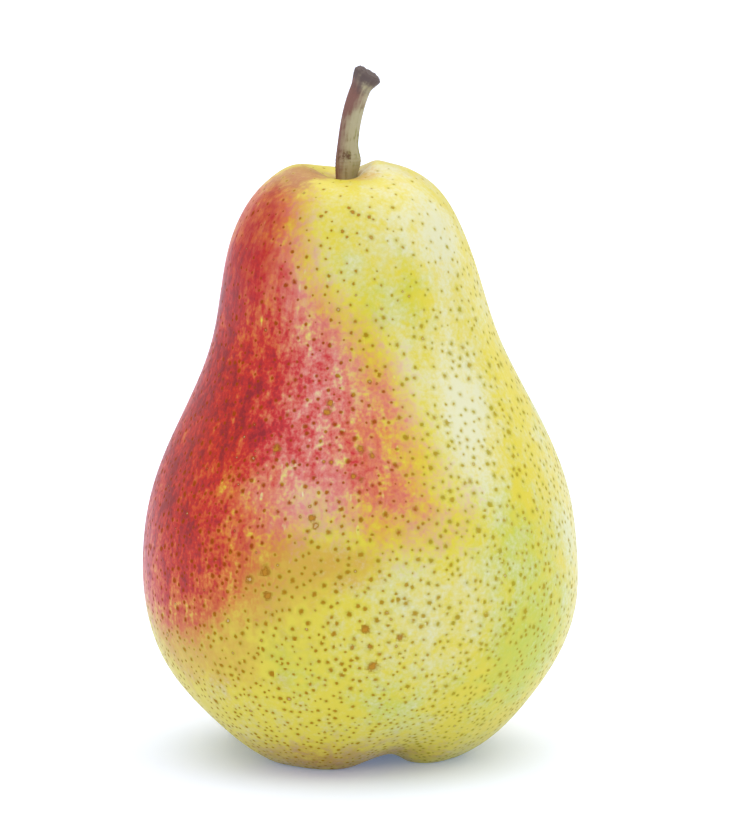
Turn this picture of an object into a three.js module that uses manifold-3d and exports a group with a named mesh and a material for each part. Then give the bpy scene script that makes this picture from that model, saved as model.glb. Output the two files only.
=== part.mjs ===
// A ripe pear, just picked, standing upright on the five low lobes round its calyx.
// Millimetres, +Z up, seen from -Y. It is three grown pieces: the fruit, the woody stem in the
// hollow on top, and the dried calyx in the basin underneath.

import * as THREE from "three";
import { mergeVertices } from "three/addons/utils/BufferGeometryUtils.js";
import Module from "manifold-3d";

const wasm = await Module();
wasm.setup();

// Driving dimensions
const BELLY_RADIUS = 35;
const CREST_HEIGHT = 94.6; // from the table to the rim round the stem
const STEM_RADIUS = 1.6; // at the middle of the shank
const SEPAL_LENGTH = 5.2;
const GAP = 0.3; // left between one piece and the pocket that it sits in

// How finely each piece is faceted
const FRUIT_RINGS = 78;
const FRUIT_SIDES = 66;
const STEM_RINGS = 26;
const STEM_SIDES = 14;

const TURN = 2 * Math.PI;
const degrees = THREE.MathUtils.degToRad;
const { smoothstep } = THREE.MathUtils;
const bell = (x, middle, width) => Math.exp(-(((x - middle) / width) ** 2));

// The fruit's outline, from the middle of the calyx basin to the middle of the stem hollow. Each row
// is a control point of a smooth spline: shares of the belly's radius and of the crest's height.
const OUTLINE = [
  [0, 0.08], // roof of the calyx basin
  [0.13, 0.08],
  [0.215, 0.045],
  [0.3, 0.014],
  [0.4, -0.002], // the ring of lobes that it stands on
  [0.53, 0.017],
  [0.7, 0.057],
  [0.9, 0.14],
  [1, 0.245],
  [1.005, 0.35], // the belly
  [0.97, 0.445],
  [0.87, 0.54],
  [0.745, 0.635],
  [0.645, 0.72], // the waist
  [0.6, 0.8],
  [0.55, 0.88], // the neck
  [0.45, 0.957],
  [0.32, 0.994],
  [0.185, 1.005], // the crest of the rim
  [0.1, 0.985],
  [0, 0.972], // floor of the stem hollow
];

// A uniform cubic B-spline. Its ends are mirrored in the axis, so that it crosses the axis level.
class Outline extends THREE.Curve {
  constructor(rows) {
    super();
    const mirrored = ([radius, height]) => [-radius, height];
    this.rows = [mirrored(rows[1]), ...rows, mirrored(rows.at(-2))];
  }
  getPoint(share, target = new THREE.Vector2()) {
    const spans = this.rows.length - 3;
    const span = Math.min(Math.floor(share * spans), spans - 1);
    const u = share * spans - span;
    const weights = [(1 - u) ** 3, 3 * u ** 3 - 6 * u * u + 4, 1 + 3 * u + 3 * u * u - 3 * u ** 3, u ** 3];
    const sum = (axis) => weights.reduce((total, w, k) => total + (w / 6) * this.rows[span + k][axis], 0);
    return target.set(Math.max(sum(0), 0) * BELLY_RADIUS, sum(1) * CREST_HEIGHT);
  }
}

// Five lobes round the calyx, parted by five grooves. The lobe at the front on the left is the widest.
const GROOVES = [-70, 3, 66, 126, 186, 290]; // degrees; the last is the first, a turn later
const LOBE_DROP = 1.3; // how far each lobe hangs below the mean ring
const LOBE_SWELL = 0.6;
const LOBE_REACH = 9.5; // height at which they have faded into the belly

// The rim of the stem hollow stands higher at its sides than at its front and back. On the right it
// is nearer the stem, and the flesh wells up against the stem there.
const RIM_SADDLE = 0.75;
const RIM_PINCH = 0.7;
const RIM_DEPTH = 7; // how far down the shoulder this still shows
const LIP_RISE = 1.9;
const LIP_HEADING = degrees(15); // where it rises highest

// The neck leans a little to the left of the belly, and the foot of the belly too.
const NECK_LEAN = -1.9;
const FOOT_LEAN = -0.6;

// 1 along the broad back of a lobe, -1 in a groove.
function lobe(angle) {
  const heading = THREE.MathUtils.euclideanModulo(THREE.MathUtils.radToDeg(angle) - GROOVES[0], 360) + GROOVES[0];
  const after = GROOVES.findIndex((groove) => groove > heading);
  const [from, to] = [GROOVES[after - 1], GROOVES[after]];
  return 1 - 2 * Math.cos((Math.PI * (heading - from)) / (to - from)) ** 4;
}

// Turns a point of the round fruit, at a radius, angle and height, into one of the grown fruit.
function grown(radius, angle, height) {
  const low = bell(height, 0, LOBE_REACH) * smoothstep(radius, 0.1 * BELLY_RADIUS, 0.4 * BELLY_RADIUS);
  const top = smoothstep(height, CREST_HEIGHT - RIM_DEPTH, CREST_HEIGHT);
  const rim = top * smoothstep(radius, 0, 5) * bell(radius, 7, 5);
  const towardsLip = (1 + Math.cos(angle - LIP_HEADING)) / 2;
  const lip = top * smoothstep(radius, 0, 2.5) * bell(radius, 3.6, 2.6) * towardsLip ** 1.5;
  const girth = 1 + 0.006 * Math.cos(2 * angle + 0.6) + 0.005 * Math.cos(3 * angle + height / 17);
  const r = radius * girth + LOBE_SWELL * low * lobe(angle) - RIM_PINCH * rim * Math.cos(angle);
  const lean =
    NECK_LEAN * smoothstep(height, 0.55 * CREST_HEIGHT, 0.9 * CREST_HEIGHT) +
    FOOT_LEAN * (1 - smoothstep(height, 0.1 * CREST_HEIGHT, 0.28 * CREST_HEIGHT));
  const drop = LOBE_DROP * low * lobe(angle);
  const lift = RIM_SADDLE * rim * Math.cos(2 * angle) + LIP_RISE * lip;
  return new THREE.Vector3(lean + r * Math.cos(angle), r * Math.sin(angle), height - drop + lift);
}

// A solid from a closed three.js geometry, and back again.
function solidOf(geometry) {
  const bare = geometry.index ? geometry.toNonIndexed() : geometry.clone();
  for (const name of ["normal", "uv"]) bare.deleteAttribute(name);
  const merged = mergeVertices(bare, 1e-4);
  const all = merged.index.array;
  const kept = [];
  for (let i = 0; i < all.length; i += 3) {
    const [a, b, c] = all.subarray(i, i + 3);
    if (a !== b && b !== c && a !== c) kept.push(a, b, c);
  }
  const mesh = new wasm.Mesh({
    numProp: 3,
    vertProperties: merged.attributes.position.array,
    triVerts: new Uint32Array(kept),
  });
  return new wasm.Manifold(mesh);
}

function geometryOf(solid) {
  const mesh = solid.getMesh();
  return new THREE.BufferGeometry()
    .setAttribute("position", new THREE.BufferAttribute(mesh.vertProperties, 3))
    .setIndex(new THREE.BufferAttribute(mesh.triVerts, 1));
}

// A lathed form whose every vertex is then moved by place(radius, angle, height).
function turned(profile, sides, place) {
  const geometry = new THREE.LatheGeometry(profile, sides);
  const position = geometry.attributes.position;
  for (let i = 0; i < position.count; i++) {
    const [x, height, z] = position.array.subarray(3 * i, 3 * i + 3);
    const step = Math.floor(i / profile.length) % sides;
    const at = place(Math.hypot(x, z), (step / sides) * TURN, height);
    position.setXYZ(i, at.x, at.y, at.z);
  }
  return geometry;
}

// The stem: its centreline from the root in the flesh to the thickened end where it parted from
// the tree, bent to the right as it rises.
const stemLine = new THREE.CubicBezierCurve3(
  new THREE.Vector3(-2, 0.4, 0.905 * CREST_HEIGHT),
  new THREE.Vector3(-2.5, 0.2, CREST_HEIGHT),
  new THREE.Vector3(-2.5, -0.3, CREST_HEIGHT + 9.5),
  new THREE.Vector3(1.5, -0.7, CREST_HEIGHT + 15.9),
);
const STEM_LENGTH = stemLine.getLength();
const FOOT_AT = 10; // along the stem, where it swells above the hollow
const FOOT_SWELL = 0.12; // share of the radius
const KNUCKLE = 0.27; // how much more it swells on the right
const END_SWELL = 0.42;
const END_REACH = 3.2;
const END_HOLLOW = 0.35; // the torn end is slightly dished
const END_EDGE = 0.5;

function stemRadius(along) {
  const foot = FOOT_SWELL * bell(along, FOOT_AT, 2.6);
  const end = END_SWELL * smoothstep(along, STEM_LENGTH - END_REACH, STEM_LENGTH - END_EDGE);
  const edge = along > STEM_LENGTH - END_EDGE / 2 ? 0.86 : 1;
  return STEM_RADIUS * edge * (1 + foot + end);
}

// The stem, or with a margin the pocket that it leaves in the flesh.
function stemSolid(margin) {
  const profile = [new THREE.Vector2(0, -margin)];
  for (let k = 0; k <= STEM_RINGS; k++) {
    const along = (k / STEM_RINGS) * STEM_LENGTH;
    profile.push(new THREE.Vector2(stemRadius(along) + margin, k ? along : -margin));
  }
  profile.push(new THREE.Vector2(0, STEM_LENGTH - END_HOLLOW));
  const place = (radius, angle, along) => {
    const share = THREE.MathUtils.clamp(along / STEM_LENGTH, 0, 1);
    const tangent = stemLine.getTangentAt(share);
    const right = new THREE.Vector3(0, 1, 0).cross(tangent).normalize();
    const back = tangent.clone().cross(right);
    const knuckle = 1 + KNUCKLE * bell(along, FOOT_AT + 0.7, 1.7) * Math.max(Math.cos(angle), 0);
    return stemLine
      .getPointAt(share)
      .addScaledVector(tangent, along - share * STEM_LENGTH)
      .addScaledVector(right, radius * knuckle * Math.cos(angle))
      .addScaledVector(back, radius * 0.96 * Math.sin(angle));
  };
  return solidOf(turned(profile, STEM_SIDES, place));
}

// The dried calyx: a short cup set in the roof of the basin, open below, with five withered sepals
// that spread from its rim and a tuft of dry stamens inside.
const ROOF = 0.08 * CREST_HEIGHT; // height of the basin's roof
const CUP_RADIUS = 3;
const CUP_BORE = 1.9;
const CUP_RIM = ROOF - 2.6;
const CUP_FLOOR = ROOF - 0.9; // inside the cup
const CUP_TOP = ROOF + 1.3; // sunk in the flesh
const CUP_SIDES = 20;
const SEPALS = 5;
const SEPAL_WIDTH = 3.1;
const SEPAL_THICKNESS = 0.7;
const SEPAL_FROM = degrees(-48); // heading at the root, below level
const SEPAL_TO = degrees(14); // and at the tip, above it
const STAMENS = 11;
const STAMEN_RADIUS = 0.3;
const STAMEN_LENGTH = 3;

const lathed = (rows, sides) => {
  const place = (radius, angle, height) =>
    new THREE.Vector3(radius * Math.cos(angle), radius * Math.sin(angle), height);
  return solidOf(turned(rows.map(([radius, height]) => new THREE.Vector2(radius, height)), sides, place));
};

// One sepal, bent from a thin box: broad near its root, drawn out to a point, its edges rolled down.
function sepalSolid(index) {
  const geometry = new THREE.BoxGeometry(1, 1, 1, 4, 8, 1);
  const position = geometry.attributes.position;
  const bend = SEPAL_TO - SEPAL_FROM;
  const turn = (index / SEPALS) * TURN + degrees(20);
  const curl = 0.3 * Math.sin(2.4 * index); // no two curl alike
  for (let i = 0; i < position.count; i++) {
    const [x, y, z] = position.array.subarray(3 * i, 3 * i + 3);
    const along = y + 0.5;
    const heading = SEPAL_FROM + (bend + curl) * along;
    const out = (SEPAL_LENGTH * (Math.sin(heading) - Math.sin(SEPAL_FROM))) / (bend + curl);
    const down = (SEPAL_LENGTH * (Math.cos(heading) - Math.cos(SEPAL_FROM))) / (bend + curl);
    const width = SEPAL_WIDTH * (1 - along ** 1.6) * (0.86 + 0.4 * along) + 0.45;
    const across = -x * width; // leftwards, so that the faces still point out
    const normal = z * SEPAL_THICKNESS - 0.12 * across * across;
    const reach = 0.84 * CUP_RADIUS + out - Math.sin(heading) * normal;
    const height = CUP_RIM + 0.25 - down + Math.cos(heading) * normal;
    position.setXYZ(i, reach, across, height);
  }
  return solidOf(geometry.rotateZ(turn));
}

// One dry stamen: a thin bristle hanging from the cup's floor and leaning outwards.
function stamenSolid(index) {
  const geometry = new THREE.CylinderGeometry(STAMEN_RADIUS, 0.7 * STAMEN_RADIUS, STAMEN_LENGTH, 5);
  const turn = index * 2.4; // the golden angle, so that they fill the cup evenly
  const reach = 0.95 * Math.sqrt(index / STAMENS);
  geometry.rotateX(Math.PI / 2).translate(0, 0, 0.3 - STAMEN_LENGTH / 2);
  geometry.rotateY(-0.34 * reach).rotateZ(turn);
  return solidOf(geometry.translate(reach * Math.cos(turn), reach * Math.sin(turn), CUP_FLOOR));
}

function calyxSolid() {
  const cup = lathed(
    [
      [0, CUP_FLOOR],
      [CUP_BORE, CUP_FLOOR],
      [CUP_BORE, CUP_RIM],
      [CUP_RADIUS - 0.3, CUP_RIM],
      [CUP_RADIUS, CUP_RIM + 0.6],
      [CUP_RADIUS, CUP_TOP],
      [0, CUP_TOP],
    ],
    CUP_SIDES,
  );
  const sepals = Array.from({ length: SEPALS }, (_, index) => sepalSolid(index));
  const stamens = Array.from({ length: STAMENS }, (_, index) => stamenSolid(index));
  return [...sepals, ...stamens].reduce((whole, piece) => whole.add(piece), cup);
}

// The fruit: the grown form, pressed flat where its lobes touch the table, with a pocket for the
// stem's root and one for the calyx.
function fruitSolid() {
  const profile = new Outline(OUTLINE).getSpacedPoints(FRUIT_RINGS);
  const whole = solidOf(turned(profile, FRUIT_SIDES, grown));
  const table = new THREE.BoxGeometry(4 * BELLY_RADIUS, 4 * BELLY_RADIUS, 20).translate(0, 0, -10);
  const calyxPocket = lathed(
    [
      [0, CUP_RIM],
      [CUP_RADIUS + GAP, CUP_RIM],
      [CUP_RADIUS + GAP, CUP_TOP + GAP],
      [0, CUP_TOP + GAP],
    ],
    CUP_SIDES,
  );
  return whole.subtract(solidOf(table)).subtract(stemSolid(GAP)).subtract(calyxPocket);
}

// Materials
const skin = new THREE.MeshStandardMaterial({ color: 0xd3c65a, roughness: 0.42, metalness: 0 });
const bark = new THREE.MeshStandardMaterial({ color: 0x8a7048, roughness: 0.75, metalness: 0 });
const withered = new THREE.MeshStandardMaterial({ color: 0x4b3526, roughness: 0.9, metalness: 0 });

const pear = new THREE.Group();
for (const [name, solid, material] of [
  ["fruit", fruitSolid(), skin],
  ["stem", stemSolid(0), bark],
  ["calyx", calyxSolid(), withered],
]) {
  const mesh = new THREE.Mesh(geometryOf(solid), material);
  mesh.name = name;
  pear.add(mesh);
}

// The origin is on the table, under the middle of the whole pear.
const middle = new THREE.Box3().setFromObject(pear).getCenter(new THREE.Vector3());
for (const mesh of pear.children) mesh.geometry.translate(-middle.x, -middle.y, 0);

export default pear;
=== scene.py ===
"""A ripe pear with a red blush on its sunny side, standing on a pale table in soft light.

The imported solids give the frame. Each is replaced by a finer piece of the same form: the fruit with
its pores, streaks and russet, the fibrous stem, and the withered calyx in the basin underneath.
Shapes are worked out in millimetres and turned to metres when a piece is made.
"""

import math

import bpy
import numpy as np
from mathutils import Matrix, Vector
from mathutils.kdtree import KDTree


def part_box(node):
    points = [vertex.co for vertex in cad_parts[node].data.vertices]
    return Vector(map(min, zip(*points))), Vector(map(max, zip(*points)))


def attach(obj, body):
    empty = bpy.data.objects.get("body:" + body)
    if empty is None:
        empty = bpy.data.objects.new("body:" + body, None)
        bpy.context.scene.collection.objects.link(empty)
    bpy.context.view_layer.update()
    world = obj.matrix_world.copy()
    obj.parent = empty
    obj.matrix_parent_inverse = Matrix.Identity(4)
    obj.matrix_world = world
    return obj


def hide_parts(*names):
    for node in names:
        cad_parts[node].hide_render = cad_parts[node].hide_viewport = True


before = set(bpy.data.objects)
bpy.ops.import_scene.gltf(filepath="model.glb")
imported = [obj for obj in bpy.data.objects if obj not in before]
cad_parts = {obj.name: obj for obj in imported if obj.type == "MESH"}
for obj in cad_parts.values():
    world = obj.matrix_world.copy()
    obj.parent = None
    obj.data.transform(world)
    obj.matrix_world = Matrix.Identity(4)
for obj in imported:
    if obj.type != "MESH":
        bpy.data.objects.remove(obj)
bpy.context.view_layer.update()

bl_info = {
    "name": "Ripe Pear",
    "version": (1, 0, 0),
    "blender": (4, 5, 0),
    "location": "3D View > Sidebar > Pear",
    "description": "Builds a ripe pear: blushed fruit, woody stem and dried calyx",
    "category": "Add Mesh",
}

MM = 0.001
TURN = 2 * math.pi
BODY = "root"

# The fruit's outline, from the middle of the calyx basin to the middle of the stem hollow. Each row
# is a control point of a smooth spline: shares of the belly's radius and of the crest's height.
OUTLINE = (
    # From the roof of the calyx basin to the ring of lobes that it stands on.
    (0, 0.08), (0.13, 0.08), (0.215, 0.045), (0.3, 0.014), (0.4, -0.002),
    # Out and up to the belly.
    (0.53, 0.017), (0.7, 0.057), (0.9, 0.14), (1, 0.245), (1.005, 0.35),
    # In to the waist, and up the neck.
    (0.97, 0.445), (0.87, 0.54), (0.745, 0.635), (0.645, 0.72), (0.6, 0.8), (0.55, 0.88),
    # Over the crest of the rim to the floor of the stem hollow.
    (0.45, 0.957), (0.32, 0.994), (0.185, 1.005), (0.1, 0.985), (0, 0.972),
)
BELLY_RADIUS = 35
CREST_HEIGHT = 94.6
OUTLINE_STEPS = 4000

# Five lobes round the calyx, parted by five grooves at these azimuths in degrees. The last is the first
# again, one turn on.
GROOVES = (-70, 3, 66, 126, 186, 290)
LOBE_DROP = 1.3
LOBE_SWELL = 0.6
LOBE_REACH = 9.5

# The rim of the stem hollow, and the flesh that wells up against the stem on the right.
RIM_SADDLE = 0.75
RIM_PINCH = 0.7
RIM_DEPTH = 7
LIP_RISE = 1.9
LIP_HEADING = math.radians(15)  # where it rises highest
COLLAR_RISE = 0.5  # a close ring of flesh round the stem
COLLAR_RADIUS = 1.7

NECK_LEAN = -1.9
FOOT_LEAN = -0.6
TABLE_GIVE = 0.12  # how softly the flat spots run into the lobes

# Slow waves of the skin: depth in mm, waves per turn, waves per mm of height, and phase.
WAVES = (
    (0.16, 3, 0.020, 0.4),
    (0.10, 5, -0.027, 2.1),
    (0.06, 8, 0.034, 4.0),
    (0.05, 13, -0.012, 1.2),
)
BASIN_FOLDS = 0.16  # puckers that run from the lobes into the calyx basin
BASIN_FOLD_COUNT = 15

# The blush covers the sunny side. Its edge goes through these azimuths and heights.
BLUSH_EDGE = (
    (-131, 92), (-119, 86), (-112, 80), (-103, 76), (-94, 72), (-86, 68.5), (-79, 65.5), (-75, 61),
    (-72, 56), (-68, 51.5), (-63, 47.5), (-60, 44), (-67, 41), (-79, 41.5), (-93, 44), (-103, 44),
    (-110, 41), (-117, 36), (-124, 30.5), (-137, 25), (-155, 23.5), (-178, 26), (-200, 33), (-216, 44),
    (-226, 56), (-228, 68), (-222, 80), (-206, 89), (-182, 93), (-155, 94.5),
)

# How red the skin is so many mm within that edge: below 0 it has no red at all.
BLUSH_DEPTHS = (-18, -7, -3, 1, 5, 11, 20)
BLUSH_REDNESS = (-0.6, -0.12, 0.03, 0.22, 0.42, 0.56, 0.66)
EDGE_STEPS = 240  # points that the edge is measured from
PATCH_DEPTH = 0.4  # how much redder a full patch of deep red is
SAP_STRENGTH = 0.77  # how far along the blush colours full redness gets

# Soft patches on the skin: azimuth, height, reach each way in degrees and in mm, and strength.
# Deeper red. The patch at the left edge of the neck, at azimuth -165, is painted shade there.
DEEP_RED_AND_SHADE = (
    (-150, 29, 14, 7, 0.8), (-172, 38, 18, 10, 0.5), (-152, 52, 26, 17, 0.7), (-128, 63, 11, 8, 0.25),
    (-165, 76, 12, 10, 0.5), (-136, 55, 10, 7, 0.35), (-152, 78, 20, 12, 0.55), (-178, 60, 30, 22, 0.6),
    (-146, 90, 10, 5, 0.3), (-140, 37, 13, 6, 0.4), (-133, 31, 9, 5, 0.25), (-166, 40, 10, 8, 0.3),
    (-108, 68, 8, 5, 0.1), (-195, 45, 30, 12, 0.35),
)
THIN_RED = (
    (-107, 47.5, 7, 3, 0.45), (-122, 47, 10, 3, 0.4), (-139, 47.5, 9, 3, 0.4), (-90, 63, 5, 6, 0.25),
    (-96, 51, 4, 4, 0.25), (-87, 55, 4, 4, 0.3), (-127, 42, 6, 3, 0.3), (-66, 46, 9, 6, 0.55),
    (-77, 50, 8, 7, 0.3), (-152, 28, 14, 3, 0.25), (-150, 95.5, 34, 3.5, 0.7),
)
# Paler, straw-coloured ground. The patches up the right of the neck and belly and along the right edge are
# partly painted highlight and sheen.
PALE_AND_SHEEN = (
    (-107, 58, 17, 13, 0.8), (-118, 74, 9, 6, 0.3), (-50, 59, 12, 12, 1.0), (-45, 87, 18, 8, 0.75),
    (-66, 78, 13, 6, -0.35), (-72, 65, 8, 9, 0.4), (-68, 90, 12, 5, 0.3), (-62, 66, 5, 8, -0.05),
    (-66, 22, 14, 12, 0.3), (-86, 76, 7, 5, -0.3), (-96, 24, 18, 9, 0.1), (-124, 34, 26, 9, -0.4),
    (-92, 83, 22, 6, 0.3), (-98, 92, 26, 5, 0.2), (-60, 52, 10, 8, 0.3), (-60, 32, 18, 10, 0.4),
    (-20, 84, 30, 12, 0.3), (-10, 34, 20, 26, 0.5), (-125, 22, 30, 10, -0.35), (-45, 22, 26, 16, -0.3),
    (-42, 50, 12, 10, -0.2), (-158, 95, 26, 5, -0.7), (40, 60, 25, 20, 0.35), (120, 45, 25, 20, 0.3),
)
GOLD = (
    (-116, 34, 15, 7, 0.7), (-140, 26, 18, 6, 0.35), (-136, 21, 26, 9, 0.4), (-104, 38, 11, 4, 0.6),
    (-90, 37, 9, 4, 0.5), (-118, 90, 12, 4, 0.35), (-155, 20, 24, 6, 0.35), (-148, 82, 20, 11, 1.0),
    (-72, 48, 9, 5, 0.15), (-85, 50, 9, 5, 0.25), (-215, 28, 22, 8, 0.5), (-158, 93, 24, 5, 0.8),
    (-10, 95, 60, 3, 0.35), (-100, 6, 40, 4, 0.2),
)
# Thin russet. The wide patch round the very bottom is painted shade where the fruit meets the table.
TAN_AND_SHADE = (
    (-100, 2, 70, 5, 0.6), (-158, 95, 26, 4, 0.65), (-150, 86, 22, 6, 0.4), (-135, 95, 14, 3, 0.3),
)
LIME = (
    (-36, 24, 18, 18, 0.45), (-96, 84, 14, 7, 0.35), (-66, 78, 10, 5, 0.25), (-50, 40, 16, 9, 0.45),
    (-42, 20, 20, 8, 0.45), (-110, 22, 16, 7, 0.35), (-80, 14, 20, 6, 0.4), (10, 45, 30, 20, 0.5),
    (70, 70, 25, 18, 0.5), (60, 25, 30, 12, 0.5),
)

SHADED_HEADING = 20  # azimuth of the side that the sun never reached
DIMPLE = (0.2, -5, 95)  # where the rim dips in front of the stem, and the skin is golden
DIMPLE_REACH = 3

# Corky russet spots: azimuth, height and radius in mm.
RUSSET = (
    (-86, 20.5, 0.85), (-88, 23.9, 0.5), (-88, 27.3, 0.65), (-79, 25.7, 0.6), (-92, 24.2, 0.45),
    (-103.3, 43.9, 0.55), (-102.2, 43.1, 0.5), (-116, 35.5, 0.8), (-115, 31.5, 0.7), (-120, 33.5, 0.6),
    (-117, 54.2, 0.7), (-90, 54.3, 0.6), (-86, 53.8, 0.5), (-90, 50.1, 0.5), (-91.5, 50.4, 0.45),
    (-99, 52.8, 0.35), (-100.5, 52.6, 0.3), (-100, 61.5, 0.6), (-102, 60, 0.6), (-94, 90.1, 0.34),
    (-96, 90.7, 0.24), (-91, 89.6, 0.26), (-112, 89.5, 0.3), (-109, 89.9, 0.24), (-85, 89.4, 0.3),
    (-99, 87.2, 0.28), (-97, 86.5, 0.22), (-82, 88.9, 0.22), (20, 38, 0.8), (48, 61, 0.7),
    (95, 30, 0.8), (130, 74, 0.6), (170, 22, 0.7), (80, 84, 0.5),
)

# Pores: mean spacing and radius at these heights, all in mm.
PORE_HEIGHTS = (0, 12, 30, 62, 80, 96)
PORE_SPACINGS = (1.3, 1.35, 1.6, 1.85, 2.0, 2.6)
PORE_RADII = (0.17, 0.185, 0.238, 0.232, 0.18, 0.13)
PORE_SPREAD = 0.24
PORE_LARGEST = 0.44
PORE_CROWDING = 1.5
PORE_ELBOW_ROOM = 0.52
RUSSET_MARGIN = 0.9  # clear skin round a russet spot, in mm
SEED = 11

# What is painted on the skin, one value for each point.
PAINTED = (
    "redness", "streaky", "speckled", "shaded", "pore_cover", "halo_cover", "pale", "gold", "lime", "tan",
)

# The stem's centreline, bent to the right as it rises, and its swellings.
STEM_CONTROL = (
    (-2, 0.4, 0.905 * CREST_HEIGHT),
    (-2.5, 0.2, CREST_HEIGHT),
    (-2.5, -0.3, CREST_HEIGHT + 9.5),
    (1.5, -0.7, CREST_HEIGHT + 15.9),
)
STEM_RADIUS = 1.6
STEM_RIDGES = ((0.02, 3, 0.12), (0.014, 7, 0.05), (0.012, 12, 0.04), (0.008, 19, 0.02))
FOOT_AT = 10
FOOT_SWELL = 0.12
KNUCKLE = 0.27
END_SWELL = 0.42
END_REACH = 3.2
END_HOLLOW = 0.35
END_EDGE = 0.5

# The calyx: a short cup in the roof of the basin, five withered sepals and a tuft of stamens.
ROOF = 0.08 * CREST_HEIGHT
CUP_RADIUS = 3
CUP_BORE = 1.9
CUP_RIM = ROOF - 2.6
CUP_FLOOR = ROOF - 0.9
CUP_TOP = ROOF + 1.3
SEPALS = 5
SEPAL_LENGTH = 5.2
SEPAL_WIDTH = 3.1
SEPAL_FROM = math.radians(-48)
SEPAL_TO = math.radians(14)
STAMENS = 19

# The photo's view: where the camera aims, how far off it stands and how high it looks from.
AIM = (1.6, 0, 54)
CAMERA_DISTANCE = 1000
CAMERA_ELEVATION = 10.5
PIXELS_PER_MM = 6.2
PHOTO_HEIGHT = 838
SENSOR = 36


def linear(code):
    """An sRGB hex colour as linear red, green and blue."""
    shares = [int(code[i : i + 2], 16) / 255 for i in (1, 3, 5)]
    return [s / 12.92 if s <= 0.04045 else ((s + 0.055) / 1.055) ** 2.4 for s in shares]


def bell(x, middle, width):
    return np.exp(-(((x - middle) / width) ** 2))


def smoothstep(x, low, high):
    share = np.clip((x - low) / (high - low), 0, 1)
    return share * share * (3 - 2 * share)


def colour(name, description, code):
    """A colour property whose default is an sRGB hex value."""
    return bpy.props.FloatVectorProperty(
        name=name, description=description, subtype="COLOR", size=3, min=0, max=1, default=linear(code)
    )


def light_strength(name, description, default, unit="POWER"):
    """A property for how strong a light is."""
    return bpy.props.FloatProperty(name=name, description=description, default=default, min=0, unit=unit)


class PearFruitSettings(bpy.types.PropertyGroup):
    """Fineness and skin colours of the fruit."""

    rings: bpy.props.IntProperty(
        name="Rings", description="Rows of faces from the basin to the hollow", default=300, min=60, max=320
    )
    sides: bpy.props.IntProperty(
        name="Sides", description="Faces in each row", default=316, min=60, max=320
    )
    yellow: colour("Yellow", "Ripe ground colour", "#d6c738")
    lime: colour("Lime", "Greener ground colour", "#b8c138")
    straw: colour("Straw", "Palest cells of the ground", "#d8d7b2")
    gold: colour("Gold", "Ground that the sun has warmed", "#caa134")
    thin_blush: colour("Thin blush", "What a thin layer of red lets through", "#fb9fbe")
    full_blush: colour("Full blush", "What a full layer of red lets through", "#f06e7c")
    deep_blush: colour("Deep blush", "What a deep layer of red lets through", "#e63046")
    darkest_blush: colour("Darkest blush", "What the darkest red lets through", "#ac1c34")
    pore: colour("Pore", "Corky pore on the ground colour", "#a0740e")
    pore_green: colour("Green pore", "Corky pore on the shaded side", "#a2962a")
    pore_halo: colour("Pore halo", "Green ring round a pore", "#b4ac1c")
    pore_red: colour("Red pore", "Corky pore in the blush", "#984208")
    tan: colour("Tan", "Thin russet over the ground", "#b07a30")
    cork: colour("Cork", "Russet spots and healed marks", "#b67e28")
    cork_rim: colour("Cork rim", "Dark rim of a russet spot", "#945a12")


class PearStemSettings(bpy.types.PropertyGroup):
    """Fineness and bark colours of the stem."""

    rings: bpy.props.IntProperty(
        name="Rings", description="Rows of faces along the stem", default=200, min=40, max=400
    )
    sides: bpy.props.IntProperty(
        name="Sides", description="Faces round the stem", default=72, min=16, max=160
    )
    red_bark: colour("Red bark", "The side that the sun reached", "#7d5449")
    pale_bark: colour("Pale bark", "The shaded side", "#aea582")
    green_bark: colour("Green bark", "Green fibres that show through", "#8a8a45")
    dry_end: colour("Dry end", "Dried, torn end", "#594945")
    scar: colour("Scar", "Brown patches and old scars", "#66492f")


class PearCalyxSettings(bpy.types.PropertyGroup):
    """Colours of the dried flower remains."""

    husk: colour("Husk", "Withered sepal", "#5b4532")
    husk_dark: colour("Dark husk", "Folds and tips of the sepals", "#2c2019")
    husk_pale: colour("Pale husk", "Worn ribs and edges", "#8d7452")


class PearStudioSettings(bpy.types.PropertyGroup):
    """The table and the light."""

    table: colour("Table", "Pale table top", "#f3f6ff")
    table_glow: colour("Table glow", "Light that comes up through the table", "#a8c2ff")
    glow: light_strength("Glow", "Strength of the light up through the table", 0.22, "NONE")
    sky: light_strength("Sky", "Strength of the light from all round", 0.54, "NONE")
    window: light_strength("Window", "Power of the tall right softbox", 1.65)
    overhead: light_strength("Overhead", "Power of the softbox above", 84)
    shoulder: light_strength("Shoulder", "Power of the high right softbox", 0.6)
    fill: light_strength("Fill", "Power of the softbox on the left", 2.2)
    back: light_strength("Back", "Power of each softbox behind", 0.45)


def put(name, data):
    """An object with this data, in the scene."""
    thing = bpy.data.objects.new(name, data)
    bpy.context.scene.collection.objects.link(thing)
    return thing


def new_piece(name, points, faces, material, smooth=True):
    """An object in the scene from points in mm."""
    mesh = bpy.data.meshes.new(name)
    mesh.from_pydata((np.asarray(points) * MM).tolist(), [], faces)
    mesh.polygons.foreach_set("use_smooth", [smooth] * len(mesh.polygons))
    mesh.materials.append(material)
    mesh.update()
    return put(name, mesh)


def add_values(piece, name, values, domain="POINT"):
    """Stores one number, three or four for each point or face, for the material to read."""
    values = np.asarray(values, np.float32)
    width = 1 if values.ndim == 1 else values.shape[1]
    kind, key = {1: ("FLOAT", "value"), 3: ("FLOAT_VECTOR", "vector"), 4: ("FLOAT_COLOR", "color")}[width]
    piece.data.attributes.new(name, kind, domain).data.foreach_set(key, values.ravel())


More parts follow.
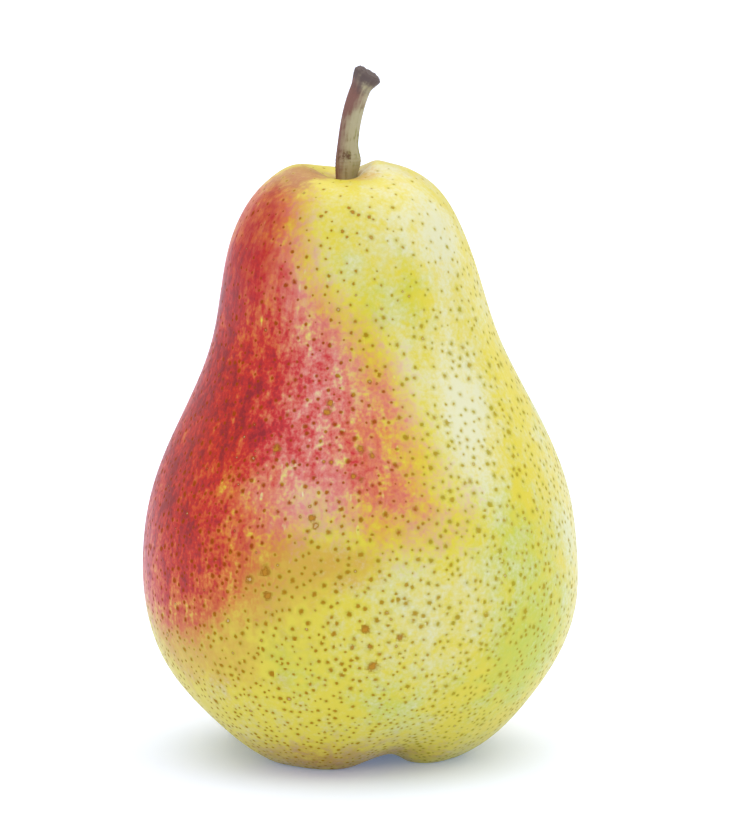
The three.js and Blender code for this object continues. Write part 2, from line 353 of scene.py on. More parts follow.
def new_material(name, constants):
    """An empty material with its output and its shader, and what is the same all over it."""
    material = bpy.data.materials.new(name)
    material.use_nodes = True
    tree = material.node_tree
    tree.nodes.clear()
    output = tree.nodes.new("ShaderNodeOutputMaterial")
    shader = tree.nodes.new("ShaderNodeBsdfPrincipled")
    tree.links.new(shader.outputs["BSDF"], output.inputs["Surface"])
    for socket, value in constants.items():
        shader.inputs[socket].default_value = value
    return material, tree, shader


def add_node(tree, kind, inputs=None, **settings):
    """Adds a shader node. Each input takes a constant, a socket, or a node for its first output."""
    node = tree.nodes.new("ShaderNode" + kind)
    for name, value in settings.items():
        setattr(node, name, value)
    for socket, value in (inputs or {}).items():
        if isinstance(value, bpy.types.Node):
            value = value.outputs[0]
        if isinstance(value, bpy.types.NodeSocket):
            tree.links.new(value, node.inputs[socket])
        else:
            node.inputs[socket].default_value = value
    return node


def opaque(rgb):
    return (*rgb, 1)


def per_metre(size):
    """How often a pattern of this size in mm repeats in a metre."""
    return 1 / (size * MM)


def spline(rows, steps):
    """A uniform cubic B-spline through the control rows, mirrored at both ends in the axis."""
    rows = np.array(rows, float)
    mirror = np.array((-1, 1))
    rows = np.vstack([rows[1] * mirror, rows, rows[-2] * mirror])
    spans = len(rows) - 3
    share = np.linspace(0, spans, steps + 1)
    span = np.minimum(share.astype(int), spans - 1)
    u = share - span
    weights = ((1 - u) ** 3, 3 * u**3 - 6 * u**2 + 4, 1 + 3 * u + 3 * u**2 - 3 * u**3, u**3)
    return sum(weight[:, None] * rows[span + k] / 6 for k, weight in enumerate(weights))


def evenly(points, count):
    """Points at equal steps along a line of many points."""
    steps = np.linalg.norm(np.diff(points, axis=0), axis=1)
    length = np.concatenate([[0], np.cumsum(steps)])
    places = np.linspace(0, length[-1], count)
    return np.stack([np.interp(places, length, axis) for axis in points.T], axis=1)


def lobe(angle):
    """1 along the broad back of a lobe, -1 in a groove."""
    heading = (np.degrees(angle) - GROOVES[0]) % 360 + GROOVES[0]
    after = np.searchsorted(GROOVES, heading, side="right").clip(1, len(GROOVES) - 1)
    start = np.array(GROOVES)[after - 1]
    end = np.array(GROOVES)[after]
    return 1 - 2 * np.cos(math.pi * (heading - start) / (end - start)) ** 4


def lean(height):
    neck = NECK_LEAN * smoothstep(height, 0.55 * CREST_HEIGHT, 0.9 * CREST_HEIGHT)
    foot = FOOT_LEAN * (1 - smoothstep(height, 0.1 * CREST_HEIGHT, 0.28 * CREST_HEIGHT))
    return neck + foot


def grown(radius, angle, height):
    """Turns points of the round fruit into points of the grown one."""
    low = bell(height, 0, LOBE_REACH) * smoothstep(radius, 0.1 * BELLY_RADIUS, 0.4 * BELLY_RADIUS)
    top = smoothstep(height, CREST_HEIGHT - RIM_DEPTH, CREST_HEIGHT)
    rim = top * smoothstep(radius, 0, 5) * bell(radius, 7, 5)
    towards_lip = (1 + np.cos(angle - LIP_HEADING)) / 2
    lip = top * smoothstep(radius, 0, 2.5) * bell(radius, 3.6, 2.6) * towards_lip**1.5
    girth = 1 + 0.006 * np.cos(2 * angle + 0.6) + 0.005 * np.cos(3 * angle + height / 17)
    out = smoothstep(radius, 0.1 * BELLY_RADIUS, 0.6 * BELLY_RADIUS)
    wave = sum(
        depth * (np.sin(turns * angle + TURN * rise * height + phase) - 1)
        for depth, turns, rise, phase in WAVES
    )
    r = radius * girth + LOBE_SWELL * low * lobe(angle) - RIM_PINCH * rim * np.cos(angle) + wave * out
    basin = bell(radius, 0.28 * BELLY_RADIUS, 0.12 * BELLY_RADIUS) * (height < 0.3 * CREST_HEIGHT)
    puckers = np.abs(np.sin(BASIN_FOLD_COUNT * angle / 2 + 0.7 * np.sin(3 * angle)))
    drop = LOBE_DROP * low * lobe(angle) + BASIN_FOLDS * basin * (1 - 2 * puckers)
    collar = COLLAR_RISE * top * bell(radius, COLLAR_RADIUS, 0.9)
    lift = RIM_SADDLE * rim * np.cos(2 * angle) + LIP_RISE * lip + collar
    z = height - drop + lift
    z = np.where(height < 0.2 * CREST_HEIGHT, 0.5 * (z + np.sqrt(z * z + TABLE_GIVE**2)), z)
    return np.stack([lean(height) + r * np.cos(angle), r * np.sin(angle), z], axis=-1)


def on_shaded_side(azimuth):
    """0 on the side that the sun reached, 1 on the side away from it."""
    return smoothstep(np.cos(np.radians(azimuth - SHADED_HEADING)), -0.6, 0.4)


class Skin:
    """The fruit's surface: its grid of points with the azimuth and height that each one grew from."""

    def __init__(self, rings, sides):
        outline = evenly(spline(OUTLINE, OUTLINE_STEPS), rings + 1) * (BELLY_RADIUS, CREST_HEIGHT)
        radius = np.repeat(outline[1:-1, 0], sides)
        height = np.repeat(outline[1:-1, 1], sides)
        self.height = np.concatenate([[outline[0, 1]], height, [outline[-1, 1]]])
        angle = np.tile(np.arange(sides) / sides * TURN, rings - 1)
        self.angle = np.concatenate([[0], angle, [0]])
        self.radius = np.concatenate([[0], radius, [0]])
        self.points = self.fitted(grown(self.radius, self.angle, self.height))
        self.azimuth = np.degrees(np.arctan2(self.points[:, 1], self.points[:, 0]))
        self.faces, self.map = self.weave(rings, sides)

    @staticmethod
    def fitted(points):
        """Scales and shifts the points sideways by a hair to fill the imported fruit's box exactly."""
        low, high = (np.array(corner[:2]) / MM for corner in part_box("fruit"))
        mine = points[:, :2].min(0), points[:, :2].max(0)
        points[:, :2] = low + (points[:, :2] - mine[0]) * (high - low) / (mine[1] - mine[0])
        return points

    @staticmethod
    def weave(rings, sides):
        """The faces, and where each face corner lies on a map of one turn by one outline."""
        faces = []
        places = []
        last = 1 + (rings - 1) * sides
        for ring in range(rings):
            below = 1 + (ring - 1) * sides
            above = below + sides
            for side in range(sides):
                after = (side + 1) % sides
                left, right = side / sides, (side + 1) / sides
                low, high = ring / rings, (ring + 1) / rings
                if ring == 0:
                    faces.append((0, above + after, above + side))
                    places += [((left + right) / 2, low), (right, high), (left, high)]
                elif ring == rings - 1:
                    faces.append((below + side, below + after, last))
                    places += [(left, low), (right, low), ((left + right) / 2, high)]
                else:
                    faces.append((below + side, below + after, above + after, above + side))
                    places += [(left, low), (right, low), (right, high), (left, high)]
        return faces, places

    def at(self, azimuth, height):
        """The point of the skin's outside at an azimuth in degrees and a height in mm."""
        off = np.radians((self.azimuth - azimuth + 180) % 360 - 180)
        miss = (off * np.maximum(self.radius, 1)) ** 2 + (self.points[:, 2] - height) ** 2
        miss += 1e6 * (self.radius < 0.2 * BELLY_RADIUS)
        return self.points[np.argmin(miss)]

    def patches(self, rows):
        """The sum of soft patches, at most 1."""
        total = np.zeros(len(self.points))
        for azimuth, height, wide, tall, strength in rows:
            off = (self.azimuth - azimuth + 180) % 360 - 180
            total += strength * bell(off, 0, wide) * bell(self.points[:, 2], height, tall)
        return np.minimum(total, 1)

    def inside_mm(self, edge):
        """How far each point lies inside a closed edge of azimuths and heights, below 0 outside."""
        corners = np.array(edge, float)
        loop = evenly(np.vstack([corners, corners[:1]]), EDGE_STEPS)
        tree = KDTree(len(loop))
        for index, (azimuth, height) in enumerate(loop):
            tree.insert(self.at(azimuth, height), index)
        tree.balance()
        distance = np.array([tree.find(point)[2] for point in self.points])
        middle = corners[:, 0].mean()
        heading = (self.azimuth - middle + 180) % 360 - 180 + middle
        inside = np.zeros(len(self.points), bool)
        for (x0, y0), (x1, y1) in zip(loop[:-1], loop[1:]):
            crosses = (y0 > self.points[:, 2]) != (y1 > self.points[:, 2])
            if y0 != y1:
                inside ^= crosses & (heading < (x1 - x0) * (self.points[:, 2] - y0) / (y1 - y0) + x0)
        return np.where(inside, distance, -distance)


def scatter_pores(skin, rng):
    """Throws darts at the skin, so that no two pores crowd each other. Rows of place, radius and tone."""
    corners = np.array([face if len(face) == 4 else (*face, face[2]) for face in skin.faces])
    quads = skin.points[corners]
    area = np.linalg.norm(np.cross(quads[:, 2] - quads[:, 0], quads[:, 3] - quads[:, 1]), axis=1) / 2
    middles = quads.mean(axis=1)
    spacing = np.interp(middles[:, 2], PORE_HEIGHTS, PORE_SPACINGS)
    chance = area / spacing**2
    count = int(PORE_CROWDING * chance.sum())
    picked = rng.choice(len(area), size=count, p=chance / chance.sum())
    across, along = rng.random((2, count, 1))
    quad = quads[picked]
    bottom = quad[:, 0] + (quad[:, 1] - quad[:, 0]) * across
    top = quad[:, 3] + (quad[:, 2] - quad[:, 3]) * across
    places = bottom + (top - bottom) * along
    big = [(skin.at(azimuth, height), radius) for azimuth, height, radius in RUSSET]
    pores = [(*place, radius, rng.random(), 1.0) for place, radius in big]
    room = max(PORE_SPACINGS)
    cells = {}
    for pore in pores:
        cell = np.floor(np.array(pore[:3]) / room).astype(int)
        cells.setdefault(tuple(cell), []).append((pore[:3], pore[3] + RUSSET_MARGIN))
    for place, gap in zip(places, spacing[picked] * PORE_ELBOW_ROOM):
        cell = np.floor(place / room).astype(int)
        around = (tuple(cell + np.array(step) - 1) for step in np.ndindex(3, 3, 3))
        near = [other for key in around for other in cells.get(key, ())]
        gap *= rng.uniform(0.8, 1.3)
        if any(math.dist(place, at) < max(gap, keep_off) for at, keep_off in near):
            continue
        shaded = on_shaded_side(math.degrees(math.atan2(place[1], place[0])))
        size = np.interp(place[2], PORE_HEIGHTS, PORE_RADII) * (1.16 - 0.08 * shaded)
        size = min(size * rng.lognormal(0, PORE_SPREAD), PORE_LARGEST)
        cells.setdefault(tuple(cell), []).append((tuple(place), gap))
        pores.append((*place, size, rng.random(), 0.0))
    return np.array(pores)


def nearest_pores(skin, pores):
    """For each face, the row of the pore that lies nearest."""
    tree = KDTree(len(pores))
    for index, pore in enumerate(pores):
        tree.insert(pore[:3], index)
    tree.balance()
    middles = [skin.points[list(face)].mean(axis=0) for face in skin.faces]
    return pores[[tree.find(middle)[1] for middle in middles]]


def skin_material(colours):
    """Waxed fruit skin, satin: soft wide highlights, corky pores that stand a little proud of it."""
    constants = {
        "IOR": 1.45,
        "Subsurface Weight": 0.08,
        "Subsurface Radius": (1.0, 0.5, 0.2),
        "Subsurface Scale": 1.2 * MM,
    }
    material, tree, shader = new_material("pear_skin_waxy", constants)
    painted = {
        name: add_node(tree, "Attribute", attribute_name=name).outputs["Fac"]
        for name in PAINTED
    }
    grain = add_node(tree, "Attribute", attribute_name="grain").outputs["Vector"]
    pore_at = add_node(tree, "Attribute", attribute_name="pore_at").outputs["Vector"]
    pore_look = add_node(tree, "Attribute", attribute_name="pore_look").outputs["Color"]
    place = add_node(tree, "TexCoord").outputs["Object"]
    look = add_node(tree, "SeparateColor", {0: pore_look}).outputs
    radius, tone, corky = look["Red"], look["Green"], look["Blue"]
    apart = add_node(tree, "VectorMath", {0: place, 1: pore_at}, operation="DISTANCE")
    apart = add_node(tree, "Math", {0: apart.outputs["Value"], 1: 1 / MM}, operation="MULTIPLY")
    reach = add_node(tree, "Math", {0: apart, 1: radius}, operation="DIVIDE")

    # Noise at the sizes in mm that the skin shows, each about a middle of 0.
    noise = {}
    for name, vector, size, detail in (
        ("clouds", place, 11, 2),
        ("mottle", place, 3.2, 3),
        ("cells", place, 1.3, 3),
        ("grit", place, 0.6, 2),
        ("peel", place, 0.42, 1),
        ("streaks", grain, 2.4, 3),
        ("fine_streaks", grain, 1.0, 2),
        ("scratches", grain, 1.1, 1),
    ):
        inputs = {"Vector": vector, "Scale": per_metre(size), "Detail": detail}
        texture = add_node(tree, "TexNoise", inputs)
        noise[name] = add_node(tree, "Math", {0: texture, 1: 0.5}, operation="SUBTRACT")

    # Each field starts from a painted value and adds noise, each kind times its weight.
    field = {}
    cloudy = {"clouds": 1.2, "mottle": 0.9, "cells": 0.8, "grit": 1.0, "streaks": 0.5}
    for name, start, weights in (
        ("lime", painted["lime"], {"clouds": 1.4, "mottle": 1.0, "cells": 0.5}),
        ("gold", painted["gold"], {"mottle": 0.8, "streaks": 0.5, "cells": 0.5}),
        ("tan", painted["tan"], {"mottle": 0.8, "cells": 0.6, "grit": 0.5}),
        ("pale", painted["pale"], cloudy),
        ("streaks", 0.0, {"streaks": 0.9, "fine_streaks": 0.8}),
        ("speckles", 0.0, {"mottle": 0.8, "cells": 0.85, "grit": 0.9, "clouds": 0.4}),
        ("reach", reach, {"peel": 0.9, "grit": 1.2, "cells": 1.7, "mottle": 0.6}),
    ):
        field[name] = start
        for kind, weight in weights.items():
            inputs = {0: noise[kind], 1: weight, 2: field[name]}
            field[name] = add_node(tree, "Math", inputs, operation="MULTIPLY_ADD")

    # Ground colour: ripe yellow, clouded with lime and gold, thin russet, and straw-coloured cells. The
    # straw is partly painted highlight and sheen on the right, and the russet round the very bottom is
    # painted shade.
    skin = opaque(colours.yellow)
    for name, low, high, most, rgb in (
        ("lime", 0.05, 0.9, 1.0, colours.lime),
        ("gold", 0.1, 0.8, 1.0, colours.gold),
        ("tan", 0.15, 0.85, 1.0, colours.tan),
        ("pale", -0.25, 1.1, 0.95, colours.straw),
    ):
        limits = {"Value": field[name], "From Min": low, "From Max": high, "To Max": most}
        share = add_node(tree, "MapRange", limits, interpolation_type="SMOOTHSTEP")
        inputs = {0: share, 6: skin, 7: opaque(rgb)}
        skin = add_node(tree, "Mix", inputs, data_type="RGBA").outputs[2]

    # Blush: red sap that filters the ground, from none through pink to crimson, drawn out in streaks
    # where it is well in, speckled, and scratched through in fine lines.
    limits = {"Value": noise["scratches"], "From Min": 0.2, "From Max": 0.3, "To Max": -0.3}
    red = add_node(tree, "MapRange", limits, interpolation_type="SMOOTHSTEP")
    red = add_node(tree, "Math", {0: red, 1: painted["redness"]}, operation="ADD")
    for amount, pattern in ((painted["streaky"], "streaks"), (painted["speckled"], "speckles")):
        inputs = {0: amount, 1: field[pattern], 2: red}
        red = add_node(tree, "Math", inputs, operation="MULTIPLY_ADD")
    filtering = add_node(tree, "Math", {0: red, 1: SAP_STRENGTH}, operation="MULTIPLY")
    ramp = add_node(tree, "ValToRGB", {"Fac": filtering})
    stops = (
        (0.0, (1, 1, 1)),
        (0.26, colours.thin_blush),
        (0.47, colours.full_blush),
        (0.64, colours.deep_blush),
        (1.0, colours.darkest_blush),
    )
    while len(ramp.color_ramp.elements) < len(stops):
        ramp.color_ramp.elements.new(0.5)
    for element, (position, rgb) in zip(ramp.color_ramp.elements, stops):
        element.position = position
        element.color = opaque(rgb)
    inputs = {0: 1.0, 6: skin, 7: ramp.outputs["Color"]}
    skin = add_node(tree, "Mix", inputs, data_type="RGBA", blend_type="MULTIPLY").outputs[2]

    # Pores: a corky dot with a halo, its rim frayed by noise. Some have a pale middle.
    zone = {}
    for name, source, low, high, most in (
        ("blush", red, 0.0, 0.4, 1.0),
        ("dot", field["reach"], 1.6, 0.35, 1.0),
        ("halo", field["reach"], 3.2, 1.0, 1.0),
        ("middle", field["reach"], 0.6, 0.2, 0.35),
        ("inside_rim", field["reach"], 0.7, 0.35, 1.0),
        ("has_heart", tone, 0.95, 0.96, 1.0),
    ):
        limits = {"Value": source, "From Min": low, "From Max": high, "To Max": most}
        zone[name] = add_node(tree, "MapRange", limits, interpolation_type="SMOOTHSTEP")
    amount = {}
    for name, one, other in (
        ("halo", zone["halo"], painted["halo_cover"]),
        ("heart", zone["middle"], zone["has_heart"]),
        ("pore", zone["dot"], painted["pore_cover"]),
        ("warmth", tone, 0.4),
    ):
        amount[name] = add_node(tree, "Math", {0: one, 1: other}, operation="MULTIPLY")
    inputs = {0: zone["inside_rim"], 6: opaque(colours.cork_rim), 7: opaque(colours.cork)}
    russet = add_node(tree, "Mix", inputs, data_type="RGBA").outputs[2]
    pore = opaque(colours.pore)
    for share, rgb in (
        (painted["shaded"], opaque(colours.pore_green)),
        (amount["warmth"], opaque(colours.cork)),
        (zone["blush"], opaque(colours.pore_red)),
        (corky, russet),
    ):
        pore = add_node(tree, "Mix", {0: share, 6: pore, 7: rgb}, data_type="RGBA").outputs[2]
    for share, rgb in (
        (amount["halo"], opaque(colours.pore_halo)),
        (amount["pore"], pore),
        (amount["heart"], opaque(colours.straw)),
    ):
        skin = add_node(tree, "Mix", {0: share, 6: skin, 7: rgb}, data_type="RGBA").outputs[2]
    tree.links.new(skin, shader.inputs["Base Color"])

    # The wax is satin and the cork matt. The peel has a fine grain that breaks up the highlights.
    for name, start, on_dot, weights in (
        ("roughness", 0.38, 0.2, {"cells": 0.2}),
        ("sheen", 0.5, -0.45, {}),
        ("relief", 0.0, 0.018, {"peel": 0.02, "grit": 0.03, "cells": 0.05, "mottle": 0.08}),
    ):
        inputs = {0: zone["dot"], 1: on_dot, 2: start}
        field[name] = add_node(tree, "Math", inputs, operation="MULTIPLY_ADD")
        for kind, weight in weights.items():
            inputs = {0: noise[kind], 1: weight, 2: field[name]}
            field[name] = add_node(tree, "Math", inputs, operation="MULTIPLY_ADD")
    tree.links.new(field["roughness"].outputs[0], shader.inputs["Roughness"])
    tree.links.new(field["sheen"].outputs[0], shader.inputs["Specular IOR Level"])
    bump = add_node(tree, "Bump", {"Height": field["relief"], "Distance": MM, "Strength": 1.0})
    tree.links.new(bump.outputs["Normal"], shader.inputs["Normal"])
    return material


class PEAR_OT_fruit(bpy.types.Operator):
    """Makes the fruit: its grown form, its blush and its pores"""

    bl_idname = "pear.fruit"
    bl_label = "Fruit"

    def execute(self, context):
        settings = context.scene.pear_fruit
        skin = Skin(settings.rings, settings.sides)
        fruit = new_piece("pear_fruit", skin.points, skin.faces, skin_material(settings))
        bake_map = fruit.data.uv_layers.new(name="OFBake")
        bake_map.data.foreach_set("uv", np.array(skin.map, np.float32).ravel())
        inside = np.interp(skin.inside_mm(BLUSH_EDGE), BLUSH_DEPTHS, BLUSH_REDNESS)
        deepened = PATCH_DEPTH * (skin.patches(DEEP_RED_AND_SHADE) - skin.patches(THIN_RED))
        deepened *= smoothstep(inside, -0.1, 0.3)
        in_hollow = bell(skin.radius, 0, 4) * (skin.height > 0.9 * CREST_HEIGHT)
        redness = inside + deepened - in_hollow
        well_in = smoothstep(redness, 0.1, 0.6)
        shaded = on_shaded_side(skin.azimuth)
        dimple = 1.1 * bell(np.linalg.norm(skin.points - DIMPLE, axis=1), 0, DIMPLE_REACH)
        painted = (
            redness,
            0.1 + 0.9 * well_in,
            (0.35 + 0.75 * well_in) * (1 - 0.35 * smoothstep(skin.height, 68, 82)),
            shaded,
            0.95 - 0.12 * shaded,
            0.36 * (1 - smoothstep(redness, 0.05, 0.45)),
            # Paler straw ground, partly painted highlight and sheen on the right.
            skin.patches(PALE_AND_SHEEN) + 0.2 * smoothstep(redness, 0.1, 0.35),
            np.maximum(skin.patches(GOLD), 0.9 * in_hollow + dimple),
            skin.patches(LIME),
            # Thin russet, and painted shade round the very bottom.
            skin.patches(TAN_AND_SHADE),
        )
        for name, values in zip(PAINTED, painted):
            add_values(fruit, name, values)
        turned = np.stack([np.cos(skin.angle) * skin.radius, np.sin(skin.angle) * skin.radius], axis=1)
        add_values(fruit, "grain", np.column_stack([turned, skin.points[:, 2] * 0.2]) * MM)
        pores = nearest_pores(skin, scatter_pores(skin, np.random.default_rng(SEED)))
        add_values(fruit, "pore_at", pores[:, :3] * MM, "FACE")
        add_values(fruit, "pore_look", np.column_stack([pores[:, 3:6], np.ones(len(pores))]), "FACE")
        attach(fruit, BODY)
        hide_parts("fruit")
        return {"FINISHED"}


def placed(points, node):
    """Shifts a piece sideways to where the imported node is. Also gives that node's top."""
    low, high = (np.array(corner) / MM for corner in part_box(node))
    middle = (points[:, :2].min(0) + points[:, :2].max(0)) / 2
    points[:, :2] += (low[:2] + high[:2]) / 2 - middle
    return points, high[2]


def tube_faces(rings, sides):
    """Faces of a tube of rings, closed at both ends by a point: the first and the last."""
    last = 1 + rings * sides
    faces = []
    for side in range(sides):
        after = (side + 1) % sides
        faces.append((0, 1 + after, 1 + side))
        faces.append((last - sides + side, last - sides + after, last))
        for ring in range(rings - 1):
            here = 1 + ring * sides
            faces.append((here + side, here + after, here + sides + after, here + sides + side))
    return faces


def stem_line(count):
    """Even points along the stem's centreline, with the directions along it, to its right and back."""
    a, b, c, d = (np.array(point, float) for point in STEM_CONTROL)
    u = np.linspace(0, 1, 800)[:, None]
    curve = (1 - u) ** 3 * a + 3 * (1 - u) ** 2 * u * b + 3 * (1 - u) * u * u * c + u**3 * d
    line = evenly(curve, count)
    along = np.gradient(line, axis=0)
    along /= np.linalg.norm(along, axis=1)[:, None]
    right = np.cross((0, 1, 0), along)
    right /= np.linalg.norm(right, axis=1)[:, None]
    length = np.linalg.norm(np.diff(curve, axis=0), axis=1).sum()
    return line, along, right, np.cross(along, right), length


def stem_material(colours):
    """Green wood with thin bark, as it was torn from the spur: fibres along it, dull, dry at the end."""
    material, tree, shader = new_material("pear_stem_bark", {"IOR": 1.5})
    along, sunny, scar = (
        add_node(tree, "Attribute", attribute_name=name).outputs["Fac"]
        for name in ("along", "sunny", "scar")
    )
    grain = add_node(tree, "Attribute", attribute_name="grain").outputs["Vector"]
    place = add_node(tree, "TexCoord").outputs["Object"]
    noise = {}
    for name, vector, size, detail in (
        ("fibres", grain, 0.45, 3),
        ("blotches", place, 1.6, 3),
        ("specks", place, 0.35, 2),
    ):
        inputs = {"Vector": vector, "Scale": per_metre(size), "Detail": detail}
        texture = add_node(tree, "TexNoise", inputs)
        noise[name] = add_node(tree, "Math", {0: texture, 1: 0.5}, operation="SUBTRACT")
    field = {}
    for name, start, weights in (
        ("green", 0.0, {"fibres": 1.0, "blotches": 0.8}),
        ("red", sunny, {"fibres": 0.75, "blotches": 0.7}),
        ("scarred", scar, {"fibres": 0.7, "blotches": 1.4, "specks": 0.6}),
        ("dried", along, {"fibres": 0.14, "blotches": 0.14, "specks": 0.06}),
        ("relief", 0.0, {"fibres": 0.12, "specks": 0.06}),
        ("roughness", 0.62, {"blotches": 0.3}),
    ):
        field[name] = start
        for kind, weight in weights.items():
            inputs = {0: noise[kind], 1: weight, 2: field[name]}
            field[name] = add_node(tree, "Math", inputs, operation="MULTIPLY_ADD")
    bark = opaque(colours.pale_bark)
    for name, low, high, rgb in (
        ("green", 0.0, 0.32, colours.green_bark),
        ("red", 0.2, 0.95, colours.red_bark),
        ("scarred", 0.2, 0.5, colours.scar),
        ("dried", 0.83, 0.97, colours.dry_end),
    ):
        limits = {"Value": field[name], "From Min": low, "From Max": high}
        share = add_node(tree, "MapRange", limits, interpolation_type="SMOOTHSTEP")
        inputs = {0: share, 6: bark, 7: opaque(rgb)}
        bark = add_node(tree, "Mix", inputs, data_type="RGBA").outputs[2]
    tree.links.new(bark, shader.inputs["Base Color"])
    bump = add_node(tree, "Bump", {"Height": field["relief"], "Distance": MM, "Strength": 1.0})
    tree.links.new(bump.outputs["Normal"], shader.inputs["Normal"])
    tree.links.new(field["roughness"].outputs[0], shader.inputs["Roughness"])
    return material


class PEAR_OT_stem(bpy.types.Operator):
    """Makes the stem: a bent woody shank with a knuckle at its foot and a torn, thickened end"""

    bl_idname = "pear.stem"
    bl_label = "Stem"

    def execute(self, context):
        settings = context.scene.pear_stem
        rings, sides = settings.rings, settings.sides
        rng = np.random.default_rng(SEED)
        line, along, right, back, length = stem_line(rings)
        reach = np.linspace(0, length, rings)[:, None]
        turn = (np.arange(sides) / sides * TURN)[None, :]
        foot = FOOT_SWELL * bell(reach, FOOT_AT, 2.6)
        end = END_SWELL * smoothstep(reach, length - END_REACH, length - END_EDGE)
        edge = 1 - 0.14 * smoothstep(reach, length - END_EDGE, length)
        radius = STEM_RADIUS * edge * (1 + foot + end)
        right_side = np.maximum(np.cos(turn), 0)
        knuckle = 1 + KNUCKLE * bell(reach, FOOT_AT + 0.7, 1.7) * right_side
        ridges = sum(
            depth * np.sin(count * turn + rng.uniform(0, TURN) + bend * reach)
            for depth, count, bend in STEM_RIDGES
        )
        lumps = 0.035 * smoothstep(reach, length - END_REACH, length) * np.sin(3 * turn + 1.1 * reach)
        wrinkles = 0.012 * bell(reach, FOOT_AT + 0.5, 2.2) * np.sin(TURN * reach / 0.55 + np.sin(2 * turn))
        radius = radius * knuckle * (1 + ridges + lumps + wrinkles)
        torn = smoothstep(reach, length - 1.2, length)
        frayed = 0.1 * torn * (0.6 + 0.4 * np.sin(4 * turn + 0.8) + 0.5 * np.sin(11 * turn))
        shell = (
            line[:, None]
            + right[:, None] * (radius * np.cos(turn))[..., None]
            + back[:, None] * (0.96 * radius * np.sin(turn))[..., None]
            - along[:, None] * frayed[..., None]
        )
        tip = line[-1] - along[-1] * END_HOLLOW
        face_rings = 8
        inner = [
            shell[-1] + (tip - shell[-1]) * step / (face_rings + 1)
            - along[-1] * (0.09 * np.sin(9 * turn[0] + 2 * step))[:, None] * (1 - step / face_rings)
            for step in range(1, face_rings + 1)
        ]
        points = np.vstack([line[:1], shell.reshape(-1, 3), np.vstack(inner), tip[None]])
        points, top = placed(points, "stem")
        points[:, 2] -= max(points[:, 2].max() - top, 0)
        faces = tube_faces(rings + face_rings, sides)
        stem = new_piece("pear_stem", points, faces, stem_material(settings))
        share = np.repeat(reach[:, 0] / length, sides)
        share = np.concatenate([[0], share, np.ones(face_rings * sides + 1)])
        add_values(stem, "along", share)
        facing = np.tile(0.5 - 0.5 * np.cos(turn[0] + 0.35), rings + face_rings)
        facing = np.concatenate([[0.5], facing, [0.5]]) + 0.45 * bell(share, 0.82, 0.09)
        add_values(stem, "sunny", facing)
        foot_scar = 0.3 * bell(reach, FOOT_AT + 1.2, 1.3) * bell(np.cos(turn + 2.5), 1, 0.9)
        foot_scar = np.concatenate([foot_scar.ravel(), np.zeros(face_rings * sides)])
        add_values(stem, "scar", np.concatenate([[0], foot_scar, [0]]))
        round_it = np.tile(np.stack([np.cos(turn[0]), np.sin(turn[0])], axis=1), (rings + face_rings, 1))
        round_it = np.vstack([[0, 0], round_it, [0, 0]]) * STEM_RADIUS
        add_values(stem, "grain", np.column_stack([round_it, share * length * 0.12]) * MM)
        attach(stem, BODY)
        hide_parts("stem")
        return {"FINISHED"}


def husk_material(colours):
    """Withered flower tissue: brittle and matt, in random blotches of dark brown, brown and pale brown."""
    material, tree, shader = new_material("pear_calyx_withered", {"Roughness": 0.85, "IOR": 1.45})
    place = add_node(tree, "TexCoord").outputs["Object"]
    blotches = add_node(tree, "TexNoise", {"Vector": place, "Scale": per_metre(1.1), "Detail": 4})
    specks = add_node(tree, "TexNoise", {"Vector": place, "Scale": per_metre(0.25), "Detail": 2})
    ramp = add_node(tree, "ValToRGB", {"Fac": blotches})
    stops = ((0.35, colours.husk_dark), (0.55, colours.husk), (0.72, colours.husk_pale))
    while len(ramp.color_ramp.elements) < len(stops):
        ramp.color_ramp.elements.new(0.5)
    for element, (position, rgb) in zip(ramp.color_ramp.elements, stops):
        element.position = position
        element.color = opaque(rgb)
    tree.links.new(ramp.outputs["Color"], shader.inputs["Base Color"])
    bump = add_node(tree, "Bump", {"Height": specks, "Distance": 0.15 * MM, "Strength": 1.0})
    tree.links.new(bump.outputs["Normal"], shader.inputs["Normal"])
    return material


def swung(out, aside, turn):
    """What lies this far out along +X and aside along +Y, after a turn round the axis."""
    return out * math.cos(turn) - aside * math.sin(turn), out * math.sin(turn) + aside * math.cos(turn)


